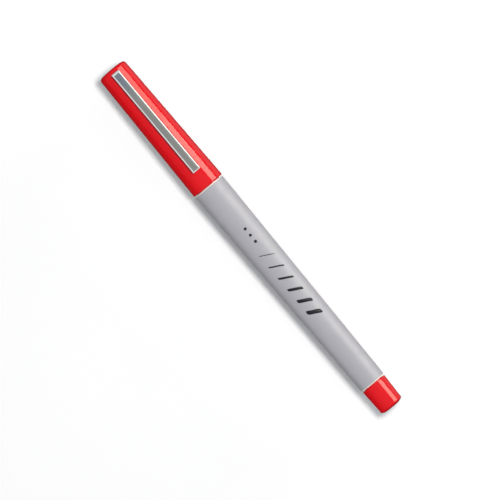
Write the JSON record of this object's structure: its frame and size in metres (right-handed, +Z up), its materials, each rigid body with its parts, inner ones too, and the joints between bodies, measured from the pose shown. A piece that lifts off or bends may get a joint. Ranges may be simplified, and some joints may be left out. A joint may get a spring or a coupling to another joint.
{
  "type": "permanent marker",
  "caption": "Capped fine-point permanent marker with a tapered barrel, a pull-off cap carrying a sprung steel pocket clip, and a stepped nose that holds a fine nib fed by a fibre ink reservoir.",
  "frame": {"origin": "middle of the bounding box, on the surface that the marker lies on", "axes": "+X runs along the marker from the end plug to the cap, +Z is up with the pocket clip on top, +Y completes the frame"},
  "size_m": [0.137, 0.0112, 0.0127],
  "materials": {
    "grey_satin_plastic": "satin",
    "red_gloss_plastic": "gloss",
    "inked_nib_plastic": "satin, stained with ink",
    "inked_fibre": "fibre, soaked with ink",
    "clear_film": "thin film",
    "natural_liner_plastic": "satin",
    "brushed_steel": "stamped and finely brushed"
  },
  "bodies": {
    "barrel": {"barrel": "grey_satin_plastic", "end_plug": "red_gloss_plastic", "nose_section": "red_gloss_plastic", "nib": "inked_nib_plastic", "reservoir_core": "inked_fibre", "reservoir_sheath": "clear_film"},
    "cap": {"cap_shell": "red_gloss_plastic", "inner_cap": "natural_liner_plastic"},
    "clip": {"pocket_clip": "brushed_steel"}
  },
  "joints": [
    {"name": "cap_pull", "type": "slide", "parent": "barrel", "child": "cap", "axis": [1, 0, 0], "range_m": [0, 0.05]},
    {"name": "clip_flex", "type": "hinge", "parent": "cap", "child": "clip", "pos_m": [0.06665, 0, 0.01014], "axis": [0, 1, 0], "range_deg": [0, 4], "stiffness_Nm_per_rad": 0.6}
  ]
}
